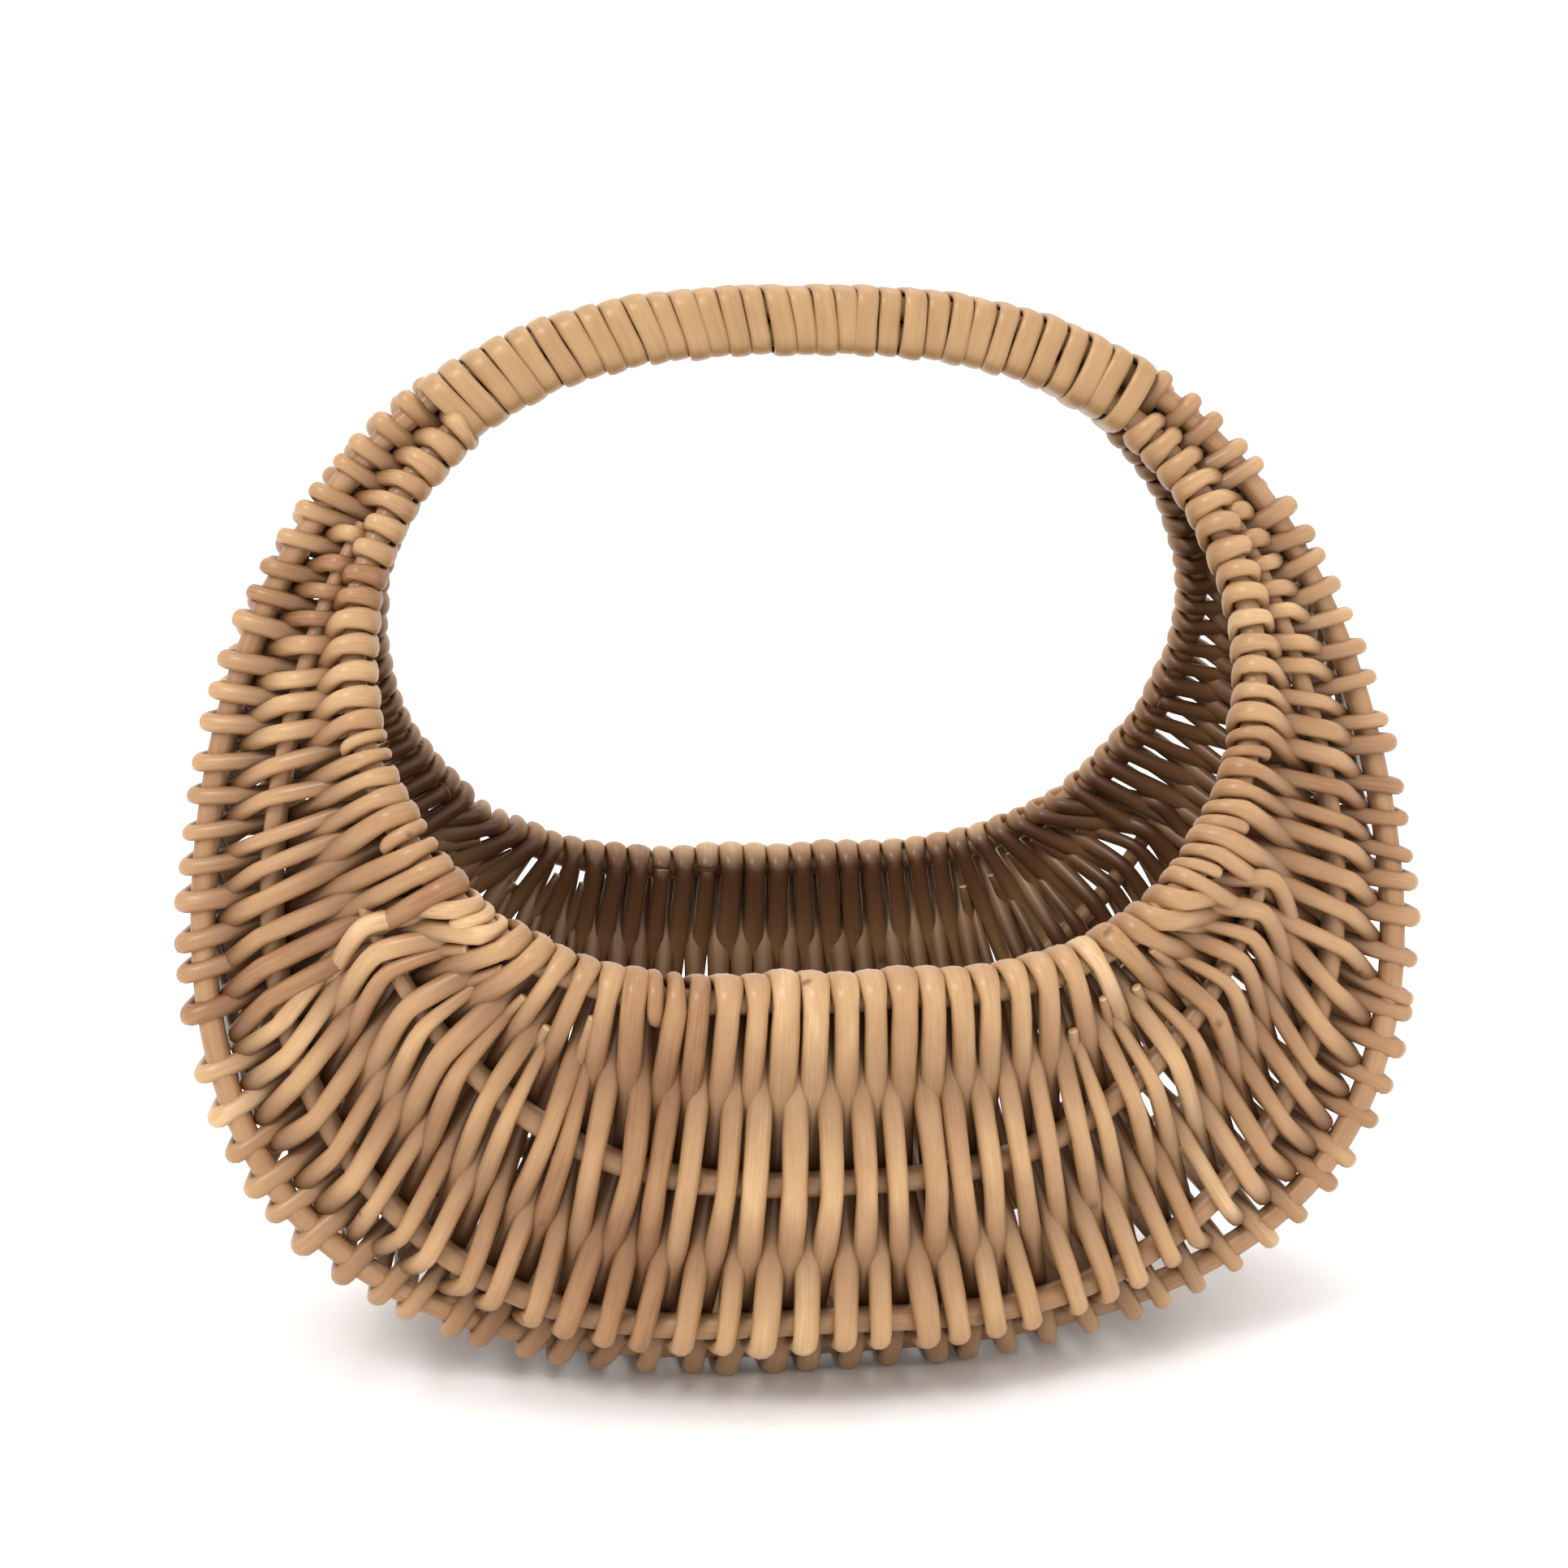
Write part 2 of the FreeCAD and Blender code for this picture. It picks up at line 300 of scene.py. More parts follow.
    def make(self, name: str, floor: float | None = None) -> bpy.types.Object:
        """Puts everything gathered into one object at the origin.

        Args:
            floor: height in millimetres under which points are pressed flat, or None.

        Returns:
            The new object, in metres.
        """
        points = np.concatenate(self.vertices)
        if floor is not None:
            points[:, 2] = np.maximum(points[:, 2], floor)
        quads = np.concatenate(self.quads)
        triangles = np.concatenate(self.triangles) if self.triangles else np.zeros((0, 3), int)
        loops = np.concatenate((quads.ravel(), triangles.ravel()))
        starts = np.concatenate((np.arange(len(quads)) * 4, len(quads) * 4 + np.arange(len(triangles)) * 3))
        mesh = bpy.data.meshes.new(name)
        mesh.vertices.add(len(points))
        mesh.vertices.foreach_set("co", (points * METRES).astype(np.float32).ravel())
        mesh.loops.add(len(loops))
        mesh.loops.foreach_set("vertex_index", loops.astype(np.int32))
        mesh.polygons.add(len(starts))
        mesh.polygons.foreach_set("loop_start", starts.astype(np.int32))
        mesh.update(calc_edges=True)
        mesh.polygons.foreach_set("use_smooth", np.ones(len(starts), bool))
        grain = mesh.attributes.new("grain", "FLOAT_VECTOR", "POINT")
        grain.data.foreach_set("vector", (np.concatenate(self.grain) * METRES).astype(np.float32).ravel())
        marks = np.concatenate(self.marks).astype(np.float32)
        for k, mark in enumerate(("tone", "inside", "scar", "cut")):
            values = mesh.attributes.new(mark, "FLOAT", "POINT")
            values.data.foreach_set("value", np.ascontiguousarray(marks[:, k]))
        mesh.validate()
        piece = bpy.data.objects.new(name, mesh)
        bpy.context.scene.collection.objects.link(piece)
        return piece


# ---- Finishes ----


def linear(code: str) -> tuple[float, float, float, float]:
    """The linear colour of an sRGB hex code: ((c + 0.055) / 1.055) ^ 2.4, or c / 12.92 when dark."""
    parts = [int(code[k:k + 2], 16) / 255 for k in (1, 3, 5)]
    return (*(c / 12.92 if c <= 0.04045 else ((c + 0.055) / 1.055) ** 2.4 for c in parts), 1.0)


def add_node(tree: bpy.types.NodeTree, kind: str, settings: dict | None = None,
             links: dict | None = None) -> bpy.types.Node:
    """Adds a node with its settings and links.

    Args:
        tree: the node tree.
        kind: the node's type name.
        settings: attribute names, or input names and numbers, with their values.
        links: input names or numbers, each with the output socket that feeds it.
    """
    node = tree.nodes.new(kind)
    for key, value in (settings or {}).items():
        if isinstance(key, str) and hasattr(node, key):
            setattr(node, key, value)
        else:
            node.inputs[key].default_value = value
    for key, socket in (links or {}).items():
        tree.links.new(socket, node.inputs[key])
    return node


def set_ramp(node: bpy.types.Node, stops: tuple[tuple[float, str], ...]) -> None:
    """Gives a colour ramp its stops of place and sRGB hex colour."""
    ramp = node.color_ramp
    while len(ramp.elements) < len(stops):
        ramp.elements.new(0.5)
    for element, (place, code) in zip(ramp.elements, stops):
        element.position = place
        element.color = linear(code)


@dataclass(frozen=True)
class WillowFinish:
    """Buff willow, boiled in its bark and peeled, under a thin satin varnish.

    The eye sees warm tan rods, no two quite alike, with fine streaks along the grain, darker bud scars,
    pale cut ends, and painted shade, a darker brown where the light doesn't reach on the weave's inner side.
    """

    name: str
    tones: tuple[tuple[float, str], ...]
    shade: str = "#5E3B1E"         # painted shade on the inner side of the weave
    scar: str = "#5A3418"          # bud scar
    cut: str = "#D9BC92"           # end grain
    streak_width: float = 0.5      # millimetres; real vessels are 0.1, drawn as coarse as they show
    streak_length: float = 22.0    # millimetres
    blotch: float = 14.0           # millimetres, patches of uneven colour along a rod
    roughness: float = 0.44
    varnish: float = 0.3
    relief: float = 0.35           # share of a 0.1 mm relief in the streaks
    streak_tone: float = 0.55      # how far the streaks and the patches move the tone
    blotch_tone: float = 0.7

    @staticmethod
    def noise(tree: bpy.types.NodeTree, grain: bpy.types.Node, scale: tuple[float, float, float],
              detail: float, roughness: float) -> bpy.types.Node:
        """Noise on the grain's coordinates, stretched by a scale along and across the rod."""
        spread = add_node(tree, "ShaderNodeMapping", {"Scale": scale}, {"Vector": grain.outputs["Vector"]})
        return add_node(tree, "ShaderNodeTexNoise", {"Scale": 1.0, "Detail": detail, "Roughness": roughness},
                        {"Vector": spread.outputs["Vector"]})

    def make(self) -> bpy.types.Material:
        """Builds the material."""
        material = bpy.data.materials.new(self.name)
        material.use_nodes = True
        tree = material.node_tree
        tree.nodes.clear()
        grain, tone, inside, scar, cut = (
            add_node(tree, "ShaderNodeAttribute", {"attribute_name": name})
            for name in ("grain", "tone", "inside", "scar", "cut"))
        fine = 1 / (self.streak_width * METRES)
        along = fine * self.streak_width / self.streak_length
        broad = 1 / (self.blotch * METRES)
        streaks = self.noise(tree, grain, (along, fine, fine), detail=3.0, roughness=0.6)
        blotches = self.noise(tree, grain, (broad, 3 * broad, 3 * broad), detail=2.0, roughness=0.5)
        shifts = [add_node(tree, "ShaderNodeMath", {"operation": "MULTIPLY_ADD", 1: amount, 2: -amount / 2},
                           {0: texture.outputs["Fac"]})
                  for texture, amount in ((streaks, self.streak_tone), (blotches, self.blotch_tone))]
        both = add_node(tree, "ShaderNodeMath", {"operation": "ADD"},
                        {k: shift.outputs[0] for k, shift in enumerate(shifts)})
        toned = add_node(tree, "ShaderNodeMath", {"operation": "ADD", "use_clamp": True},
                         {0: tone.outputs["Fac"], 1: both.outputs[0]})
        ramp = add_node(tree, "ShaderNodeValToRGB", None, {"Fac": toned.outputs[0]})
        set_ramp(ramp, self.tones)
        speck = add_node(tree, "ShaderNodeMapRange", {"From Min": 0.35, "From Max": 0.9, "To Max": 0.8},
                         {"Value": scar.outputs["Fac"]})
        colour = ramp.outputs["Color"]
        # The shade colour is painted shade, mixed in by the inside mask; the scar and cut colours are the
        # wood's own.
        for code, factor in ((self.shade, inside.outputs["Fac"]), (self.scar, speck.outputs["Result"]),
                             (self.cut, cut.outputs["Fac"])):
            colour = add_node(tree, "ShaderNodeMix", {"data_type": "RGBA", 7: linear(code)},
                              {0: factor, 6: colour}).outputs[2]
        gloss = add_node(tree, "ShaderNodeMapRange",
                         {"To Min": self.roughness - 0.08, "To Max": self.roughness + 0.12},
                         {"Value": streaks.outputs["Fac"]})
        bump = add_node(tree, "ShaderNodeBump", {"Strength": self.relief, "Distance": 0.1 * METRES},
                        {"Height": streaks.outputs["Fac"]})
        shader = add_node(tree, "ShaderNodeBsdfPrincipled",
                          {"IOR": 1.5, "Coat Weight": self.varnish, "Coat Roughness": 0.24},
                          {"Base Color": colour, "Roughness": gloss.outputs["Result"],
                           "Normal": bump.outputs["Normal"]})
        add_node(tree, "ShaderNodeOutputMaterial", None, {"Surface": shader.outputs["BSDF"]})
        return material


WEAVER_FINISH = WillowFinish(
    "buff_willow_weaver",
    ((0.0, "#8C6242"), (0.25, "#A07A54"), (0.5, "#AC8862"), (0.78, "#BA986F"), (1.0, "#CCAE88")))
FRAME_FINISH = WillowFinish(
    "peeled_willow_frame_rod",
    ((0.0, "#86603E"), (0.5, "#A07C58"), (1.0, "#BA9872")), streak_width=0.7, streak_length=40.0)
BINDING_FINISH = WillowFinish(
    "split_willow_skein",
    ((0.0, "#8E6844"), (0.35, "#A07E58"), (0.7, "#AE8E66"), (1.0, "#C0A27C")),
    streak_width=0.4, streak_length=18.0, roughness=0.4, varnish=0.18)


# ---- The frame ----


@dataclass
class FrameRods:
    """The four hoops and four ribs, each a round willow rod with slight swellings and a slow waver."""

    seed: int = 11
    samples: int = 360
    waver: float = 0.04         # share of the radius
    knot_spacing: float = 55.0

    def build(self, material: bpy.types.Material) -> list[bpy.types.Object]:
        """Builds every rod and puts it on its CAD node."""
        random = np.random.default_rng(self.seed)
        pieces = []
        for rod_name, rail, last_row in (("rim_hoop", RIM, None), ("base_hoop", BASE, None),
                                         ("side_rib", SIDE_RIB, SIDE_RIB_ROW),
                                         ("short_rib", SHORT_RIB, SHORT_RIB_ROW)):
            for side_name, side in (("front", -1.0), ("back", 1.0)):
                node = f"{side_name}_{rod_name}"
                mesh = TubeMesh(sides=16)
                mesh.add(self.rod(rail, side, last_row, random))
                piece = mesh.make(f"willow_{node}")
                dress(piece, material, node)
                pieces.append(piece)
        return pieces

    def rod(self, rail: Rail, side: float, last_row: int | None, random: np.random.Generator) -> Tube:
        """One rod along its rail: a closed hoop, or a rib that tapers to both ends.

        Args:
            rail: the rod's centre line.
            side: -1 for the front and +1 for the back.
            last_row: the row where a rib ends, or None for a hoop.
            random: the source of its waver.
        """
        if last_row is None:
            angles = np.linspace(-180, 180, self.samples, endpoint=False)
            radius = np.full(self.samples, ROD_RADIUS)
        else:
            end = float(rail.row_angle(np.array([last_row - RIB_END]))[0])
            angles = np.linspace(-end, end, self.samples // 2)
            share = np.clip((end - np.abs(angles)) / (RIB_TAPER * end), 0, 1)
            radius = RIB_TIP_RADIUS + (ROD_RADIUS - RIB_TIP_RADIUS) * share
        points = rail.points(angles, side)
        turn = np.radians(angles)
        normals = np.stack((np.sin(turn), 0 * turn, -np.cos(turn)), axis=-1)
        swing = sum(np.sin((k + 2) * turn + random.uniform(0, TURN)) for k in range(3)) / 3
        radius = radius * (1 - self.waver * 0.5 + self.waver * 0.5 * swing)
        length = float(np.sum(np.linalg.norm(np.diff(points, axis=0), axis=1)))
        count = int(length / self.knot_spacing)
        knots = np.stack((random.uniform(0, length, count), random.uniform(0, TURN, count)), axis=-1)
        return Tube(points, normals, radius, radius, tone=random.uniform(0.3, 0.7),
                    start=random.uniform(0, 900), closed=last_row is None, knots=knots)


# ---- The weave ----


class Phase(Enum):
    """Which side of the front rim a row starts on: +1 is outside the basket and -1 inside it."""

    OUTSIDE = 1
    INSIDE = -1


class Side(Enum):
    """The basket's two halves, with the sign of their rows."""

    RIGHT = 1
    LEFT = -1


@dataclass
class Line:
    """A stretch of a weaving rod's centre line, with what its sections need."""

    points: np.ndarray
    normals: np.ndarray
    flat: np.ndarray            # half thickness along the normal, as a share of the rod's radius
    broad: np.ndarray           # half width across it, likewise
    inside: np.ndarray          # 0 outside the wall, 1 on its inner side, where the finish paints shade

    @staticmethod
    def joined(lines: list["Line"]) -> "Line":
        """One line from several that follow each other, with the shared end points kept once."""
        def chain(name: str) -> np.ndarray:
            """One field of all the lines, end to end."""
            parts = [getattr(line, name) for line in lines]
            return np.concatenate([parts[0]] + [part[1:] for part in parts[1:]])
        return Line(chain("points"), chain("normals"), chain("flat"), chain("broad"), chain("inside"))

    def reversed(self) -> "Line":
        """The same line the other way, with its normals turned over as the rod has turned over."""
        return Line(self.points[::-1], -self.normals[::-1], self.flat[::-1], self.broad[::-1],
                    self.inside[::-1])


@dataclass(frozen=True)
class Ends:
    """A row's directions at its first and last crossings, which its wraps carry on from."""

    ahead: tuple[np.ndarray, np.ndarray]
    out: tuple[np.ndarray, np.ndarray]


@dataclass
class Weave:
    """The woven walls: rows of rods across the rails, in pairs that pass the rails on opposite sides."""

    seed: int = 5
    samples: int = 10           # points from one crossing to the next
    wrap_samples: int = 13      # points in half a turn round a rim
    flatness: float = 0.84      # half thickness over the rod's radius, where it lies on a rail
    breadth: float = 1.06
    middle_flatness: float = 0.94       # the same two between the rails, where neighbours press on it
    middle_breadth: float = 1.14
    rim_flatness: float = 0.7   # a rod is pressed flat and wide where it wraps a rim
    rim_breadth: float = 1.38
    least_radius: float = 1.32  # a rod's mean radius is this and a share of the pitch on the rim
    pitch_share: float = 0.185
    side_thinning: float = 0.18         # how much thinner the rods get towards the sides
    thinning_rows: float = 20.0         # rows on the rim over which they do
    jitter: float = 0.18        # share of a pair by which a crossing is out of place
    double_share: float = 0.22  # share of the front wraps that go round twice
    double_weight: float = 1.75         # width of a double wrap's cell, over a single one's
    double_reach: float = 0.44          # how much further each end of a double wrap reaches, in cells
    double_rows: int = 24       # rows out to which double wraps are found
    bend_reach: float = 0.52    # how far a bend over a rail spreads, over the distance to the next rail
    base_bend: float = 13.0     # longest spread in millimetres over a base hoop
    wall_bend: float = 34.0     # the same over the other rails
    pinch: float = 0.85         # how close to a short pair's middle its rows and neighbours are drawn
    least_rows: float = 1.5     # fewest rows that one rod lasts
    rod_rows: float = 3.2       # half the most
    rod_sizes: tuple[float, float] = (0.86, 1.12)       # a rod's radius over the mean
    first_sizes: tuple[float, float] = (0.88, 1.1)      # the same for the first rod of a weaver
    short_sizes: tuple[float, float] = (0.85, 1.0)      # and for the rods of a short pair
    tip_size: float = 0.5       # a short pair's tip over the rod
    tip_length: float = 0.9     # how far back it tapers, over the distance to the next rail
    taper: float = 0.16         # how much a whole rod tapers from butt to tip
    whole_length: float = 900.0         # millimetres
    waves: tuple[float, float] = (38.0, 17.0)           # lengths of the swellings along a rod
    wave_height: float = 0.018
    knot_spacing: float = 70.0
    rim_light: float = 0.8      # share of the inner side's painted shade that a wrap is spared over the rim, where it is lit

    def __post_init__(self) -> None:
        """Sets out the wraps on the front rim."""
        self.random = np.random.default_rng(self.seed)
        self.set_out_wraps()

    def set_out_wraps(self) -> None:
        """Finds each front wrap's place on the rim and where its rows start.

        Each wrap has a cell on the rim. A double wrap's cell is wider, and its neighbours close up, so
        that the cells of one weaver still fill that weaver's rows.
        """
        count = 2 * RIM_ROWS + 1
        self.centre = np.arange(-RIM_ROWS, RIM_ROWS + 1).astype(float)
        self.cell = np.ones(count)
        self.double = np.zeros(count, bool)
        for side in Side:
            for first, last in zip(WEAVER_ROWS, WEAVER_ROWS[1:]):
                low, high = rim_row(first), rim_row(last)
                rows = np.arange(low, high) if side is Side.RIGHT else np.arange(-high, -low)
                twice = self.random.random(len(rows)) < self.double_share
                twice &= np.abs(rows) < self.double_rows
                twice[0] = False
                weights = np.where(twice, self.double_weight, 1.0)
                weights *= self.random.uniform(0.9, 1.1, len(rows))
                size = weights / weights.sum() * len(rows)
                edges = rows[0] - 0.5 + np.concatenate(([0.0], np.cumsum(size)))
                self.centre[rows + RIM_ROWS] = (edges[:-1] + edges[1:]) / 2
                self.cell[rows + RIM_ROWS] = size
                self.double[rows + RIM_ROWS] = twice

    def rails(self, row: float) -> list[tuple[Rail, float, float]]:
        """The rails that a row crosses from front to back, each with its side and rod radius."""
        front = [(RIM, ROD_RADIUS)]
        for rail, last in ((SHORT_RIB, SHORT_RIB_ROW), (SIDE_RIB, SIDE_RIB_ROW)):
            end = last - RIB_END
            if abs(row) < end:
                share = min(1.0, (end - abs(row)) / (RIB_TAPER * end))
                front.append((rail, RIB_TIP_RADIUS + (ROD_RADIUS - RIB_TIP_RADIUS) * share))
        front.append((BASE, ROD_RADIUS))
        return ([(rail, -1.0, radius) for rail, radius in front]
                + [(rail, 1.0, radius) for rail, radius in reversed(front)])

    def crowded(self, row: float) -> float:
        """Where a row crosses the short rib, with the short pairs pinched and their neighbours closed up."""
        for short in SHORT_PAIRS:
            centre = math.copysign(short + 0.5, row)
            if abs(row - centre) < 1:
                return centre + self.pinch * (row - centre)
        return row

    def row_line(self, row: float, phase: Phase, rim_rows: tuple[float, float],
                 radius: float) -> tuple[Line, Ends]:
        """One row from the front rim to the back rim.

        At each crossing the rod's centre is the rail's centre plus or minus the wall's normal times the
        two half thicknesses. Between crossings it is a cubic Hermite curve whose end tangents run along
        the wall.

        Args:
            row: the row's signed place.
            phase: the side of the front rim that it starts on.
            rim_rows: its places on the front and the back rim.
            radius: the rod's radius.

        Returns:
            The line, and its directions at both ends.
        """
        rails = self.rails(row)
        count = len(rails)
        places = row + self.random.uniform(-self.jitter, self.jitter, count)
        for k, (rail, _, _) in enumerate(rails):
            if rail is SHORT_RIB:
                places[k] += self.crowded(row) - row
        places[0], places[-1] = rim_rows
        centres, beside = np.zeros((count, 3)), np.zeros((count, 3))
        for k, (rail, side, _) in enumerate(rails):
            near = rail.points(rail.row_angle(places[k] + np.array([-0.05, 0.0, 0.05])), side)
            centres[k], beside[k] = near[1], near[2] - near[0]
        padded = np.concatenate((centres[:1], centres, centres[-1:]))
        ahead = unit(padded[2:] - padded[:-2])
        out = unit(np.cross(ahead, unit(beside)))
        signs = phase.value * (-1.0) ** np.arange(count)
        rod_radii = np.array([rod for _, _, rod in rails])
        apex = centres + (signs * (rod_radii + self.flatness * radius))[:, None] * out
        gaps = np.linalg.norm(np.diff(apex, axis=0), axis=1)
        caps = np.array([self.base_bend if rail is BASE else self.wall_bend for rail, _, _ in rails])
        t = np.linspace(0, 1, self.samples + 1)[:, None]
        h00, h10 = 2 * t ** 3 - 3 * t ** 2 + 1, t ** 3 - 2 * t ** 2 + t
        h01, h11 = -2 * t ** 3 + 3 * t ** 2, t ** 3 - t ** 2
        blend = 3 * t ** 2 - 2 * t ** 3
        ease = np.abs(2 * t[:, 0] - 1) ** 2
        flat = self.middle_flatness + (self.flatness - self.middle_flatness) * ease
        broad = self.middle_breadth + (self.breadth - self.middle_breadth) * ease
        lines = []
        for k in range(count - 1):
            leave = min(self.bend_reach * gaps[k], caps[k]) * ahead[k]
            arrive = min(self.bend_reach * gaps[k], caps[k + 1]) * ahead[k + 1]
            points = h00 * apex[k] + h10 * leave + h01 * apex[k + 1] + h11 * arrive
            normals = unit((1 - blend) * out[k] + blend * out[k + 1])
            level = (signs[k] * (1 - blend) + signs[k + 1] * blend)[:, 0]
            # The last field is the mask for painted shade: 1 where the rod lies on the wall's inner side, 0
            # on its outer side.
            lines.append(Line(points, normals, flat, broad, 0.5 - 0.5 * level))
        return Line.joined(lines), Ends((ahead[0], ahead[-1]), (out[0], out[-1]))

    def wrap_line(self, side: float, rows: tuple[float, float], way: np.ndarray, out: np.ndarray,
                  radius: float, turns: float, broad: float) -> Line:
        """A wrap over a rim, from inside the wall to outside it.

        At turn f from 0 to turns * pi, the centre is C(f) + R (-cos f N + sin f U), where C runs along
        the rim from one row to the next, N is the wall's normal and U the way up past the rim. A single
        wrap moves along the rim on the half that faces the back of the basket.

        Args:
            side: -1 for the front rim and +1 for the back.
            rows: the places on the rim where it starts and ends.
            way: the way up past the rim.
            out: the wall's normal there.
            radius: the rod's radius.
            turns: half turns, 1 or 3.
            broad: half width over the radius.
        """
        count = int(self.wrap_samples * turns) + 1
        share = np.linspace(0, 1, count)
        if turns > 1:
            ease = share
        else:
            moved = np.clip(2 * share if side < 0 else 2 * (share - 0.5), 0, 1)
            ease = 3 * moved ** 2 - 2 * moved ** 3
        centres = RIM.points(RIM.row_angle(rows[0] + (rows[1] - rows[0]) * ease), side)
        turn = np.pi * turns * share[:, None]
        radial = -np.cos(turn) * out + np.sin(turn) * way
        ends = np.minimum(share, 1 - share) * turns
        spread = np.sin(np.pi * np.clip(ends, 0, 0.5))
        flat = self.flatness + (self.rim_flatness - self.flatness) * spread
        reach = ROD_RADIUS + flat * radius
        # The last field is the mask for painted shade: dark where the wrap starts inside the wall, lightened
        # by rim_light over the lit top of the rim.
        return Line(centres + reach[:, None] * radial, -side * radial, flat,
                    self.breadth + (broad - self.breadth) * spread,
                    (0.5 + 0.5 * np.cos(turn[:, 0])) * (1 - self.rim_light * spread))

    def wrap_places(self, k: int) -> tuple[float, float]:
        """Where the front wrap number k starts and ends on the rim."""
        extra = self.double_reach if self.double[k] else 0.0
        cell = self.cell[k] / (self.double_weight if self.double[k] else 1.0)
        reach = (FIRST_ROW + extra) * cell
        return self.centre[k] - reach, self.centre[k] + reach

    def mean_radius(self, row: float) -> float:
        """The mean radius of the rods at a place on the rim."""
        slender = 1 - self.side_thinning * min(1.0, abs(row) / self.thinning_rows)
        return slender * (self.least_radius + self.pitch_share * RIM.pitch(row))

    def short_rods(self, pair: int) -> list[Tube]:
        """The two rods of a short pair: their tips thin out and end between the short ribs and the rims."""
        place = float(rim_row(pair))
        tubes = []
        for phase, row in ((Phase.OUTSIDE, pair + FIRST_ROW), (Phase.INSIDE, pair + SECOND_ROW)):
            radius = self.mean_radius(place) * self.random.uniform(*self.short_sizes)
            line, _ = self.row_line(row, phase, (place, place), radius)
            left, right = self.random.integers(self.samples // 5, self.samples // 2, 2)
            kept = slice(left, len(line.points) - right)
            count = kept.stop - kept.start
            to_end = np.minimum(np.arange(count), np.arange(count)[::-1])
            whole = np.minimum(1, to_end / (self.tip_length * self.samples))
            thinned = self.tip_size + (1 - self.tip_size) * whole
            tubes.append(self.rod([Line(line.points[kept], line.normals[kept], line.flat[kept] * thinned,
                                        line.broad[kept] * thinned, line.inside[kept])], radius))
        return tubes

    def rods(self, side: Side, number: int) -> list[Tube]:
        """The rods of one weaver.

        Args:
            side: the half of the basket.
            number: the weaver's number, counted from the middle of the base.
        """
        first, last = WEAVER_ROWS[number - 1], WEAVER_ROWS[number]
        pairs = range(first, last) if side is Side.RIGHT else range(-last, -first)
        tubes: list[Tube] = []
        lines: list[Line] = []
        factor = self.random.uniform(*self.first_sizes)
        life = self.random.uniform(self.least_rows, 2 * self.rod_rows)
        for pair in pairs:
            if (pair if side is Side.RIGHT else -pair - 1) in SHORT_PAIRS:
                tubes += self.short_rods(pair)
                continue
            place = rim_row(pair)
            k = place + RIM_ROWS
            before, start = self.wrap_places(k)
            finish = self.wrap_places(k + 1)[0]
            for phase in Phase:
                radius = self.mean_radius(place + 0.5) * factor
                broad = min(self.rim_breadth, 0.5 * RIM.pitch(place) * self.cell[k] / radius)
                if phase is Phase.OUTSIDE:
                    row, ends = self.row_line(pair + FIRST_ROW, phase, (start, place + FIRST_ROW), radius)
                    turns = 3.0 if self.double[k] else 1.0
                    if self.double[k]:
                        broad /= self.double_weight
                    wrap = self.wrap_line(-1.0, (before, start), -ends.ahead[0], ends.out[0], radius,
                                          turns, broad)
                    lines += [wrap, row]
                else:
                    row, ends = self.row_line(pair + SECOND_ROW, phase, (finish, place + SECOND_ROW), radius)
                    wrap = self.wrap_line(1.0, (place + FIRST_ROW, place + SECOND_ROW), ends.ahead[1],
                                          ends.out[1], radius, 1.0, broad)
                    lines += [wrap, row.reversed()]
                life -= 1
                if life <= 0:
                    tubes.append(self.rod(lines, radius))
                    lines = []
                    factor = self.random.uniform(*self.rod_sizes)
                    life = self.random.uniform(self.least_rows, 2 * self.rod_rows)
        if lines:
            tubes.append(self.rod(lines, radius))
        return tubes

    def rod(self, lines: list[Line], radius: float) -> Tube:
        """A rod along several lines, tapered from butt to tip, with its own tone and bud scars."""
        line = Line.joined(lines)
        points = line.points
        run = np.concatenate(([0.0], np.cumsum(np.linalg.norm(np.diff(points, axis=0), axis=1))))
        slope = self.random.choice([-1.0, 1.0]) * self.taper * min(1.0, run[-1] / self.whole_length)
        sizes = radius * (1 + slope * (0.5 - run / run[-1]))
        for wave in self.waves:
            swell = np.sin(run / wave * TURN + self.random.uniform(0, TURN))
            sizes = sizes * (1 + self.wave_height * swell)
        count = int(run[-1] / self.knot_spacing)
        knots = np.stack((self.random.uniform(0, run[-1], count),
                          self.random.uniform(0, TURN, count)), axis=-1)
        return Tube(points, line.normals, sizes * line.flat, sizes * line.broad,
                    tone=float(np.clip(self.random.normal(0.52, 0.16), 0.15, 0.92)),
                    start=self.random.uniform(0, 900), inside=line.inside, knots=knots)

    def build(self, material: bpy.types.Material) -> list[bpy.types.Object]:
        """Builds every weaver and puts it on its CAD node."""
        pieces = []
        for side in Side:
            for number in range(1, len(WEAVER_ROWS)):
                mesh = TubeMesh(sides=12)
                for tube in self.rods(side, number):
                    mesh.add(tube)
                node = f"weaver_{side.name.lower()}_{number:02d}"
                piece = mesh.make(f"willow_{node}", floor=0.0)
                dress(piece, material, node)
                pieces.append(piece)
        return pieces


# ---- The grip ----


